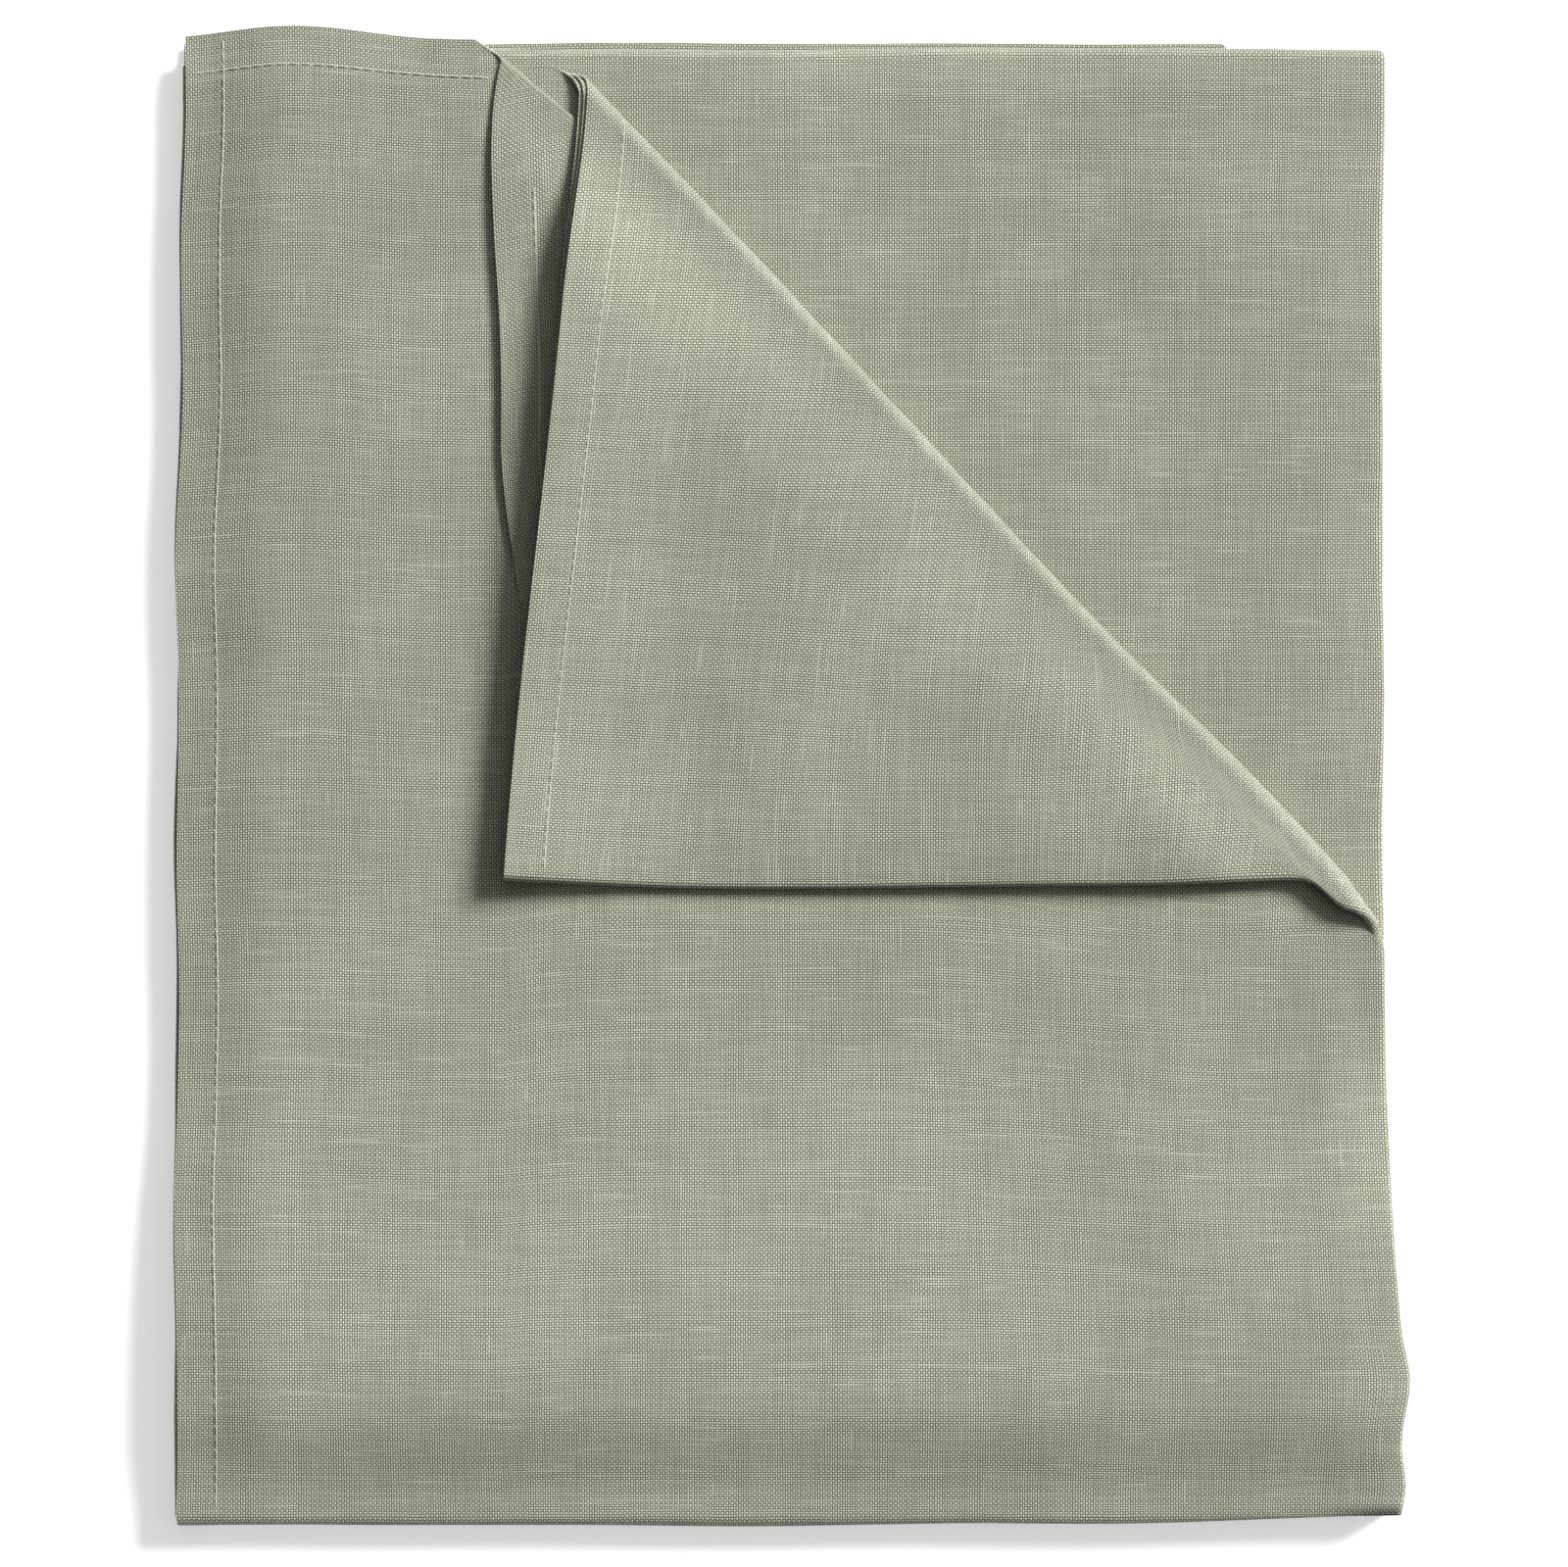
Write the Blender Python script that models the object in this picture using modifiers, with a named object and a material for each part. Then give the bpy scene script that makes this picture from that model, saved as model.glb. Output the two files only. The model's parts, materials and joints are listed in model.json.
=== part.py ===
"""A hemmed linen tablecloth, folded flat into rows and columns, with one corner of its top row turned back.

The cloth is one woven sheet. Here it is laid out as its folds divide it: four columns across and four rows
along, stacked as a pack of sixteen layers. Rows 2 to 4 lie still, row 1 opens like a page about the fold at
the near edge, and the corner of row 1 opens about its diagonal crease. Metres, +Z up, origin under the
pack's middle.
"""

import math

import bmesh
import bpy
from mathutils import Matrix, Vector

# The folded pack
PACK_WIDTH = 0.325  # along X, a quarter of the cloth's 1.30 m
PACK_LENGTH = 0.400  # along Y, a quarter of the cloth's 1.60 m
CLOTH_THICKNESS = 0.0005
LAYER_GAP = 0.0003
LAYER_PITCH = CLOTH_THICKNESS + LAYER_GAP
LAYERS_IN_ROW = 4
ROWS = 4
LOWER_ROWS = (2, 3, 4)
ROW_4_HEM_INSET = 0.0015  # row 4's own hem ends this far inside the pack's far edge

# Columns from the outside of each row to its inside: the left hem's column wraps the other three
COLUMNS = (1, 4, 3, 2)
SIDE_FOLDS = (("right_fold_outer", 0, 3), ("right_fold_inner", 1, 2), ("left_fold", 2, 3))

# The turned corner's crease, where it meets the far edge and the right edge of row 1
CREASE_TOP_X = -0.0665
CREASE_RIGHT_Y = -0.0470
TOP_ROW_RIGHT_X = 0.1590  # row 1 is drawn in a little by its wrapping fold
TOP_ROW_FAR_Y = 0.1960
CORNER_ROUNDING = 0.003

# Hems and their thread
HEM_WIDTH = 0.0100
THREAD_DIAMETER = 0.0004
THREAD_END_INSET = 0.0015
THREAD_CLEARANCE = 2 * THREAD_DIAMETER  # where one line of stitching ends beside another
THREAD_BEVEL_RESOLUTION = 2

BEND_SEGMENTS = 12
ROUNDING_SEGMENTS = 4
LINEN_COLOUR = (0.36, 0.37, 0.30, 1.0)
THREAD_COLOUR = (0.62, 0.63, 0.55, 1.0)
LINEN_ROUGHNESS = 0.85
THREAD_ROUGHNESS = 0.60

# A nest of eight layers turns about one line, and its outermost layer has this radius outside
NEST_RADIUS = (LAYERS_IN_ROW - 0.5) * LAYER_PITCH + CLOTH_THICKNESS / 2
NEAR_BEND_Y = -PACK_LENGTH / 2 + NEST_RADIUS
FAR_BEND_Y = PACK_LENGTH / 2 - NEST_RADIUS

# Outside radius of the widest side fold on each side: the right one wraps four layers, the left one two
RIGHT_RADIUS = (LAYERS_IN_ROW - 1) / 2 * LAYER_PITCH + CLOTH_THICKNESS / 2
LEFT_RADIUS = LAYER_PITCH / 2 + CLOTH_THICKNESS / 2

# Flat parts end where their side folds start
LEFT_EDGE_X = -PACK_WIDTH / 2 + LEFT_RADIUS + LAYER_GAP
LOWER_RIGHT_EDGE_X = PACK_WIDTH / 2 - RIGHT_RADIUS - LAYER_GAP
TOP_RIGHT_EDGE_X = TOP_ROW_RIGHT_X - RIGHT_RADIUS - LAYER_GAP


def layer_height(index):
    """Height of a layer's middle, counted from 0 at the bottom of the pack."""
    return CLOTH_THICKNESS / 2 + LAYER_PITCH * index


def layer_index(row, nest):
    """Where a column's layer lies in the pack. Each row is turned over against the next, so the order flips."""
    from_bottom = (ROWS - row) * LAYERS_IN_ROW
    reversed_row = row % 2 == 1
    return from_bottom + (LAYERS_IN_ROW - 1 - nest if reversed_row else nest)


CREASE_HEIGHT = layer_height(ROWS * LAYERS_IN_ROW - 1) + LAYER_PITCH / 2
CREASE_TOP = Vector((CREASE_TOP_X, TOP_ROW_FAR_Y, CREASE_HEIGHT))
CREASE_RIGHT = Vector((TOP_ROW_RIGHT_X, CREASE_RIGHT_Y, CREASE_HEIGHT))
CREASE_DIRECTION = (CREASE_RIGHT - CREASE_TOP).normalized()


def clear_scene():
    for obj in list(bpy.data.objects):
        bpy.data.objects.remove(obj, do_unlink=True)


def principled(name, colour, roughness):
    material = bpy.data.materials.new(name)
    material.use_nodes = True
    shader = material.node_tree.nodes["Principled BSDF"]
    shader.inputs["Base Color"].default_value = colour
    shader.inputs["Roughness"].default_value = roughness
    shader.inputs["Metallic"].default_value = 0.0
    return material


def place(collection, name, data, colour=LINEN_COLOUR, roughness=LINEN_ROUGHNESS):
    obj = bpy.data.objects.new(name, data)
    obj.data.materials.append(principled(name + "_material", colour, roughness))
    collection.objects.link(obj)
    return obj


def bend(centre, radius, start_angle, end_angle):
    """Points of a half turn in a plane, as (across, height) pairs."""
    for step in range(BEND_SEGMENTS + 1):
        angle = start_angle + (end_angle - start_angle) * step / BEND_SEGMENTS
        yield centre[0] + radius * math.cos(angle), centre[1] + radius * math.sin(angle)


def folded_strip(collection, name, profile, direction):
    """A strip of cloth with this profile, swept along direction, and given its thickness by Solidify."""
    mesh = bpy.data.meshes.new(name)
    shape = bmesh.new()
    vertices = [shape.verts.new(point) for point in profile]
    edges = [shape.edges.new(pair) for pair in zip(vertices, vertices[1:])]
    swept = bmesh.ops.extrude_edge_only(shape, edges=edges)
    moved = [item for item in swept["geom"] if isinstance(item, bmesh.types.BMVert)]
    bmesh.ops.translate(shape, vec=direction, verts=moved)
    bmesh.ops.recalc_face_normals(shape, faces=shape.faces)
    shape.to_mesh(mesh)
    shape.free()
    mesh.shade_smooth()
    strip = place(collection, name, mesh)
    solidify = strip.modifiers.new("cloth thickness", "SOLIDIFY")
    solidify.thickness = CLOTH_THICKNESS
    solidify.offset = 0
    solidify.use_even_offset = True
    return strip


def lower_column(collection, nest):
    """One column's strip through rows 4, 3 and 2: under, back over at the near edge, and over at the far one."""
    heights = {row: layer_height(layer_index(row, nest)) for row in LOWER_ROWS}
    near_centre = (NEAR_BEND_Y, (heights[4] + heights[3]) / 2)
    far_centre = (FAR_BEND_Y, (heights[3] + heights[2]) / 2)
    near_radius = (heights[3] - heights[4]) / 2
    far_radius = (heights[2] - heights[3]) / 2
    line = [(PACK_LENGTH / 2 - ROW_4_HEM_INSET, heights[4])]
    line += bend(near_centre, near_radius, -math.pi / 2, -3 * math.pi / 2)
    line += bend(far_centre, far_radius, -math.pi / 2, math.pi / 2)
    line.append((NEAR_BEND_Y, heights[2]))
    profile = [(LEFT_EDGE_X, y, z) for y, z in line]
    across = Vector((LOWER_RIGHT_EDGE_X - LEFT_EDGE_X, 0, 0))
    folded_strip(collection, f"lower_column_{COLUMNS[nest]}", profile, across)


def side_fold(collection, name, row, nests, side, y_from, y_to, edge_x):
    """The bend that joins two layers of a row along its left or right edge."""
    heights = [layer_height(layer_index(row, nest)) for nest in nests]
    inset = RIGHT_RADIUS if side > 0 else LEFT_RADIUS
    centre = (edge_x - side * inset, sum(heights) / 2)
    radius = abs(heights[0] - heights[1]) / 2
    outward = 0 if side > 0 else math.pi
    line = bend(centre, radius, outward - math.pi / 2, outward + math.pi / 2)
    profile = [(x, y_from, z) for x, z in line]
    return folded_strip(collection, name, profile, Vector((0, y_to - y_from, 0)))


def side_of(fold_name):
    return 1 if fold_name.startswith("right") else -1


def rounded(corner, before, after, radius=CORNER_ROUNDING):
    """A square-ish corner of an outline, eased with a quadratic curve."""
    start = corner + (before - corner).normalized() * radius
    end = corner + (after - corner).normalized() * radius
    for step in range(ROUNDING_SEGMENTS + 1):
        t = step / ROUNDING_SEGMENTS
        yield start.lerp(corner, t).lerp(corner.lerp(end, t), t)


def flat_panel(collection, name, outline, height, origin=Vector()):
    """A flat outline with the cloth's thickness, its middle at this height."""
    curve = bpy.data.curves.new(name, "CURVE")
    curve.dimensions = "2D"
    curve.fill_mode = "BOTH"
    curve.extrude = CLOTH_THICKNESS / 2
    spline = curve.splines.new("POLY")
    spline.points.add(len(outline) - 1)
    for point, corner in zip(spline.points, outline):
        point.co = (corner.x - origin.x, corner.y - origin.y, 0, 1)
    spline.use_cyclic_u = True
    panel = place(collection, name, curve)
    panel.location = (origin.x, origin.y, height)
    return panel


def crease_point(along, inset):
    """A point of the crease line in plan, moved inset towards the lower left, which is row 1's side."""
    point = CREASE_TOP.lerp(CREASE_RIGHT, along)
    towards_row = Vector((CREASE_DIRECTION.y, -CREASE_DIRECTION.x, 0))
    return (point + towards_row * inset).to_2d()


def crease_at_x(x, inset):
    """Where the crease line, moved by inset, crosses this X."""
    first = crease_point(0, inset)
    second = crease_point(1, inset)
    return Vector((x, first.y + (second.y - first.y) * (x - first.x) / (second.x - first.x)))


def crease_at_y(y, inset):
    """Where the crease line, moved by inset, crosses this Y."""
    first = crease_point(0, inset)
    second = crease_point(1, inset)
    return Vector((first.x + (second.x - first.x) * (y - first.y) / (second.y - first.y), y))


def top_panel(collection, nest):
    """One column's layer of row 1, without its turned corner."""
    near_left = Vector((LEFT_EDGE_X, NEAR_BEND_Y))
    near_right = Vector((TOP_RIGHT_EDGE_X, NEAR_BEND_Y))
    crease_right = crease_at_x(TOP_RIGHT_EDGE_X, LAYER_GAP / 2)
    crease_top = crease_at_y(TOP_ROW_FAR_Y, LAYER_GAP / 2)
    far_left = Vector((LEFT_EDGE_X, TOP_ROW_FAR_Y))
    outline = [near_left, near_right, crease_right, crease_top]
    outline += rounded(far_left, crease_top, near_left)
    height = layer_height(layer_index(1, nest))
    flat_panel(collection, f"top_panel_{COLUMNS[nest]}", outline, height)


def corner_panel(collection, nest, parent):
    """One column's layer of the corner, made where it lies when flat, and turned with its parent."""
    crease_right = crease_at_x(TOP_RIGHT_EDGE_X, -LAYER_GAP / 2)
    crease_top = crease_at_y(TOP_ROW_FAR_Y, -LAYER_GAP / 2)
    tip = Vector((TOP_RIGHT_EDGE_X, TOP_ROW_FAR_Y))
    outline = [crease_right, *rounded(tip, crease_right, crease_top), crease_top]
    height = layer_height(layer_index(1, nest)) - parent.location.z
    origin = parent.location.to_2d()
    panel = flat_panel(collection, f"corner_panel_{COLUMNS[nest]}", outline, height, origin)
    panel.location = (0, 0, height)
    panel.parent = parent


def corner_fold(collection, fold_name, nests, parent):
    """The bend along the corner's right edge, made where it lies when flat, and turned with its parent."""
    start = crease_at_x(TOP_ROW_RIGHT_X - 2 * RIGHT_RADIUS, -LAYER_GAP).y + LAYER_GAP
    end = TOP_ROW_FAR_Y - CORNER_ROUNDING
    name = "corner_" + fold_name.removeprefix("right_")
    fold = side_fold(collection, name, 1, nests, 1, start, end, TOP_ROW_RIGHT_X)
    fold.data.transform(Matrix.Translation(-parent.location))
    fold.parent = parent


def thread(collection, name, start, end, parent=None):
    """A line of stitching, as one round thread."""
    curve = bpy.data.curves.new(name, "CURVE")
    curve.dimensions = "3D"
    curve.bevel_depth = THREAD_DIAMETER / 2
    curve.bevel_resolution = THREAD_BEVEL_RESOLUTION
    curve.use_fill_caps = True
    spline = curve.splines.new("POLY")
    spline.points.add(1)
    origin = parent.location if parent else Vector()
    for point, position in zip(spline.points, (start, end)):
        point.co = (*(position - origin), 1)
    obj = place(collection, name, curve, THREAD_COLOUR, THREAD_ROUGHNESS)
    obj.parent = parent


def hem_threads(collection, crease):
    """The stitching of the left hem and the far hem, and the far hem's on the turned corner's underside."""
    lift = CLOTH_THICKNESS / 2 + LAYER_GAP + THREAD_DIAMETER / 2
    face = layer_height(layer_index(1, 0)) + lift
    left_x = LEFT_EDGE_X + HEM_WIDTH
    far_y = TOP_ROW_FAR_Y - HEM_WIDTH
    left_end = Vector((left_x, NEAR_BEND_Y + THREAD_END_INSET, face))
    left_start = Vector((left_x, TOP_ROW_FAR_Y - THREAD_END_INSET, face))
    thread(collection, "left_hem_thread", left_start, left_end)
    far_start = Vector((left_x + THREAD_CLEARANCE, far_y, face))
    far_end = Vector((crease_at_y(far_y, NEST_RADIUS).x - HEM_WIDTH, far_y, face))
    thread(collection, "top_hem_thread", far_start, far_end)
    underside = layer_height(layer_index(1, LAYERS_IN_ROW - 1)) - lift
    corner_start = Vector((crease_at_y(far_y, -LAYER_GAP).x + HEM_WIDTH, far_y, underside))
    corner_end = Vector((TOP_RIGHT_EDGE_X - THREAD_END_INSET, far_y, underside))
    thread(collection, "corner_hem_thread", corner_start, corner_end, crease)


def lower_rows(collection):
    for nest in range(LAYERS_IN_ROW):
        lower_column(collection, nest)
    for row in LOWER_ROWS:
        far_y = PACK_LENGTH / 2 - ROW_4_HEM_INSET if row == ROWS else FAR_BEND_Y
        for fold_name, *nests in SIDE_FOLDS:
            side = side_of(fold_name)
            name = f"row_{row}_{fold_name}"
            side_fold(collection, name, row, nests, side, NEAR_BEND_Y, far_y, side * PACK_WIDTH / 2)


def top_row(collection):
    for nest in range(LAYERS_IN_ROW):
        top_panel(collection, nest)
    for fold_name, *nests in SIDE_FOLDS:
        side = side_of(fold_name)
        far_y = TOP_ROW_FAR_Y - CORNER_ROUNDING
        edge_x = -PACK_WIDTH / 2
        if side > 0:
            far_y = crease_at_x(TOP_ROW_RIGHT_X, LAYER_GAP).y - LAYER_GAP
            edge_x = TOP_ROW_RIGHT_X
        side_fold(collection, f"top_{fold_name}", 1, nests, side, NEAR_BEND_Y, far_y, edge_x)


def turned_corner(collection):
    """The corner is made flat about an empty on its crease, and the empty turns it over by half a turn."""
    crease = bpy.data.objects.new("corner_crease", None)
    crease.location = CREASE_TOP
    collection.objects.link(crease)
    for nest in range(LAYERS_IN_ROW):
        corner_panel(collection, nest, crease)
    for fold_name, *nests in SIDE_FOLDS[:2]:
        corner_fold(collection, fold_name, nests, crease)
    return crease


def build():
    clear_scene()
    collection = bpy.data.collections.new("folded_tablecloth")
    bpy.context.scene.collection.children.link(collection)
    lower_rows(collection)
    top_row(collection)
    crease = turned_corner(collection)
    hem_threads(collection, crease)
    half_turn = Matrix.Rotation(math.pi, 4, CREASE_DIRECTION)
    crease.matrix_world = Matrix.Translation(CREASE_TOP) @ half_turn


build()
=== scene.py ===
"""The looks of the folded linen tablecloth: woven cloth in its folds, its hems and stitching."""

import functools
import json
import math

import bmesh
import bpy
import numpy as np
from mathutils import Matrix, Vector, noise


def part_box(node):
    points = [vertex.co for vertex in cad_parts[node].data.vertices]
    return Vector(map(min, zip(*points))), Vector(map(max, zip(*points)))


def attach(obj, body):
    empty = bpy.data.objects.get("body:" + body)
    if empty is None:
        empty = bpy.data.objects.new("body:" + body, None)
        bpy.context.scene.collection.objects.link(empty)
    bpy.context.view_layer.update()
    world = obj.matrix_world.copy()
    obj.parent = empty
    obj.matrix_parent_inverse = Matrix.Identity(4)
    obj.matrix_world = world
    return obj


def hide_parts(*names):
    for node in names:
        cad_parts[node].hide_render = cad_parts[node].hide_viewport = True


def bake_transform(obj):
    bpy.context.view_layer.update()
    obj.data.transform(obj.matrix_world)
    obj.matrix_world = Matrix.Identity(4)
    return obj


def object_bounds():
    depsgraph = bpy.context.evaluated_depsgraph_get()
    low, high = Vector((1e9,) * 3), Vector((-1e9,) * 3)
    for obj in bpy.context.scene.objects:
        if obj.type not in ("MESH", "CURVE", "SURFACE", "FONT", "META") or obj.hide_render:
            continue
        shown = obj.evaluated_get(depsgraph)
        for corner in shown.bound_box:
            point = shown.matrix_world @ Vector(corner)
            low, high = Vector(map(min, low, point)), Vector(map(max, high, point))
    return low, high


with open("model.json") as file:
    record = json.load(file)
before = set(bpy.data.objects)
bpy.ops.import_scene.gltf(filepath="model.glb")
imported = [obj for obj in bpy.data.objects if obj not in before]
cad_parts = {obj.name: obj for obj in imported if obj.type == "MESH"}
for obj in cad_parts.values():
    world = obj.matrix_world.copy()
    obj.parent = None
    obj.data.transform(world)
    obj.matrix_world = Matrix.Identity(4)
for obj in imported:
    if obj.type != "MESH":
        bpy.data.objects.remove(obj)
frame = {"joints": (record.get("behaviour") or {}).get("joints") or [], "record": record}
CAD_LOW, CAD_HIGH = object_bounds()

MM = 0.001

# Read from the frame: bodies, fold lines, pitch of the layers and the pack's outline
BODIES = frame["record"]["behaviour"]["bodies"]
JOINTS = {joint["name"]: joint for joint in frame["joints"]}
ROW_AXIS = Vector(JOINTS["row_fold"]["pos_m"])
CREASE_POINT = Vector(JOINTS["corner_crease"]["pos_m"])
CREASE_ALONG = -Vector(JOINTS["corner_crease"]["axis"])  # from the far edge to the right edge
CREASE_ACROSS = Vector((-CREASE_ALONG.y, CREASE_ALONG.x, 0))  # to the corner, when it lies flat


def middle(node):
    low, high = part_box(node)
    return (low + high) / 2


PITCH = middle("top_panel_1").z - middle("top_panel_4").z
LEFT_X = CAD_LOW.x
RIGHT_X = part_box("top_right_fold_outer")[1].x - 0.5 * MM  # half a millimetre inside the CAD's fold
NEAR_Y = ROW_AXIS.y
FAR_FOLD_Y = CAD_HIGH.y - 8.2 * MM  # the far fold's line, which its layers bulge past
FAR_HEM_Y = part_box("top_panel_1")[1].y
PANEL = CAD_HIGH.x - CAD_LOW.x
ROW_1_LENGTH = FAR_HEM_Y - NEAR_Y

# The cloth as it was cut
CLOTH_THICKNESS = 0.5 * MM
HEM_THICKNESS = 0.75 * MM
HEM_WIDTH = 10.3 * MM
THREAD_PITCH = 0.655 * MM

# The column each nest holds. A nest is a layer's depth within a row, 0 for its outermost layer
COLUMN_OF_NEST = (1, 4, 3, 2)

# Folds along the columns: how far they bulge and the cloth they take up. Then how far inside the
# left edge the two side hems lie
OUTER_BULGE = 1.5 * PITCH * 1.3
INNER_BULGE = 0.5 * PITCH * 1.6
SIDE_FOLD_LENGTH = 4 * MM
COLUMN_1_IN = 0.6 * MM
COLUMN_4_IN = 1.4 * MM

# Row 4's hem: how far it shows past the far fold, and how much shorter it is right of a place
ROW_4_PAST = 0.8 * MM
ROW_4_SHORTER = 5 * MM
ROW_4_SHORTER_FROM = 118 * MM

# How finely it is meshed
ACROSS_STEP = 3.7 * MM
ALONG_STEP = 3.7 * MM
HIDDEN_STEP = 12.0 * MM
BEND_STEPS = 8
BEND_LENGTH = 7 * MM  # cloth taken up by a fold across the rows
CUT_BESIDE = 0.15  # two more cuts, this share of the roll before and after it
HEM_GRID = (-1.6 * MM, -0.5 * MM, 0.5 * MM, 1.6 * MM)  # grid lines beside a hem's stitching
FOOT_ROUNDS = 30  # repeats until a point's foot on its curved crease line is settled
LOWER_MARK = -1000.0  # in the place of a point's rolls past the crease, if it is not in row 1
ROLL_STEPS = 9  # odd, so that no line of points lies at the roll's middle height

# The turned corner: cloth taken up by its roll, and how much fuller the roll is than its layers
# make it, at the far hem and at the right edge
ROLL = 9.6 * MM
FLAP_EASE = 3.5 * MM  # the flap lies this much further from its crease than its roll leaves it
FULLER = (0.15 * MM, 0.9 * MM)

# Where the crease meets the far hem, the apex, and how long the crease is
CREASE_TOP_ALONG = (Vector((0, FAR_HEM_Y, 0)) - CREASE_POINT).y / CREASE_ALONG.y
CREASE_LENGTH = 2 * abs(CREASE_TOP_ALONG)
APEX_X = CREASE_POINT.x + CREASE_TOP_ALONG * CREASE_ALONG.x

BULGE = 2.2 * MM  # how far the roll bulges out in the plane near its right end
STARTS_INSIDE = 1.1 * MM  # how far inside its crease line it starts at the far hem
END_UP = 10.5 * MM  # the flap lies this much nearer its crease at the crease's right end

# By nest: how far to the lower left a layer's crease starts at the far hem. It comes back to the
# corner_crease line over EARLY_REACH
EARLY = (10.0 * MM, 1.5 * MM, 1.0 * MM, 0.5 * MM)
EARLY_REACH = 150 * MM

# By nest: how far a layer's far hem stops short of FAR_HEM_Y at the apex, how far the outermost
# layer's runs out past the others under the flap, and from where and over what length the hems
# come together at the flap's tip, right of the apex
HEM_SHORT = (0.0, 6.6 * MM, 7.4 * MM, 8.0 * MM)
HEM_LONG = (10.0 * MM, 0.0, 0.0, 0.0)
TIP_SHORT = 6.0 * MM
TIP_FROM = (95 * MM, 50 * MM, 50 * MM, 50 * MM)
TIP_REACH = (95 * MM, 150 * MM, 150 * MM, 150 * MM)
TIP_EASE = 4.5 * MM  # the flap's tip lies this much further from the crease
FAR_SWELL = 3.2 * MM  # the far hem's swell left of the apex
FAR_SWELL_X = -132 * MM
FAR_SWELL_WIDTH = 26 * MM
FAR_OUT = 0.8 * MM  # and how far out it lies everywhere there

# How high the flap stands, by nest as shares, and how far its folded lower edge hangs down
FLAP_LIFT = 8.0 * MM
LIFT_OF_NEST = (0.12, 0.62, 0.80, 1.0)
FLAP_DROOP = 1.4 * MM
CROWN = 0.38  # share of FLAP_LIFT just past the roll, which fades further out
CROWN_FADES = 0.20
HEM_STANDS = 0.66  # share of it that the free left edge stands up
LOWER_AT_END = 0.55  # share lost towards the crease's right end

# How the pack settles. Shares of height: in all, less at its edges, more near its near fold
SLACK = 0.03
THIN_LEFT = 0.26
THIN_FAR = 0.12
THIN_RIGHT = 0.10
NEAR_SWELL = 0.48
HEIGHT_NOISE = ((0.065, 85 * MM, 3.1), (0.032, 34 * MM, 8.4))  # share, size, seed
PUCKER_REACH = 12 * MM  # how far from a hem's stitching its puckers reach
PUCKER_LEFT = (0.035, 11 * MM, 5.2)
PUCKER_FAR = (0.030, 12 * MM, 6.6)

# Waves of the edges in the plane, each layer a little different: height, size, seed
WAVE_X = (1.5 * MM, 42 * MM, 1.3)
WAVE_Y = (1.1 * MM, 70 * MM, 2.7)
WAVE_SPREAD = 5 * MM
WAVE_REACH = 60 * MM
WAVE_AT_BOTTOM = 0.4  # share of a wave at the pack's bottom, against its top

# The pack's outline: wider low on the right with two bulges, leaning at its left, and skewed at
# its near edge
WIDER = 3.6 * MM
BULGE_OUT = 2.0 * MM
BULGES = ((-161 * MM, 9 * MM), (-190 * MM, 8 * MM))  # y, width
LEAN = -1.5 * MM
SKEW = 2.6 * MM

# Stitches
STITCH = 3.3 * MM
STITCH_STEP = 0.5 * MM
THREAD_RADIUS = 0.17 * MM
THREAD_SIDES = 6
STITCH_SUNK = 0.28 * MM  # how far a stitch's ends lie in the cloth
STITCH_RISE = 0.36 * MM  # how far its middle rises from there

# Base colours
LINEN = (0.535, 0.543, 0.428)
# the dark colour: darker patches of the yarn, and also painted shade in the gaps between the yarns
LINEN_DARK_AND_GAP_SHADE = (0.028, 0.029, 0.019)
LINEN_PALE = (0.800, 0.800, 0.670)
THREAD_COLOUR = (0.50, 0.51, 0.41)
CROSSING_CONTRAST = 1.6  # how much darker weft is than warp, against the yarns' own differences

# The weave: how far yarns drift, in yarns, and how sharply a yarn falls away at its sides and ends
DRIFT = 0.7
DRIFT_SCALES = (40, 33)
ROUND_ACROSS = 0.85
ROUND_ALONG = 0.40
YARN_TONES = (0.66, 1.30)  # the darkest and palest yarn, against LINEN
TONE_APART = 3.7  # how far apart in the noise two yarns are, and how slowly a yarn's tone changes
TONE_LENGTH = 0.03
SLUB_APART = 2.91
WEFT_SLUB = (0.035, 0.76, 0.86)  # length, and the noise where a slub starts and is full
WARP_SLUB = (0.05, 0.85, 0.93)
SLUB_PALER = 0.38
SLUB_HEIGHT = 0.5
PATCH_SCALE = 22  # broad patches that are a little darker
PATCH_DARKER = 0.10
BUMP_DISTANCE = 0.20 * MM

# Camera and lights: name, direction, softness in degrees and strength
FRAME_WIDTH = 417.8 * MM
FRAME_CENTRE = (-1.6 * MM, -2.0 * MM)
WORLD_STRENGTH = 0.06
LIGHTS = (("key", (0.66, 0.52, 0.54), 20, 5.4), ("fill", (0.35, 0.40, 0.85), 70, 0.8))
FLOOR_DROP = 0.3 * MM
FLOOR_GLOW = 0.45


# ---------------------------------------------------------------- the folded cloth as formulas


def smooth(t):
    t = np.clip(t, 0, 1)
    return t * t * (3 - 2 * t)


def ridge(distance, width):
    return np.exp(-((distance / width) ** 2))


def steps(start, end, size):
    count = max(1, round(abs(end - start) / size))
    return [start + (end - start) * i / count for i in range(count + 1)]


def with_hem(values, hem_at):
    """Adds grid lines on both sides of a hem's stitching."""
    return sorted({*values, *(hem_at + d for d in HEM_GRID)})


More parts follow.
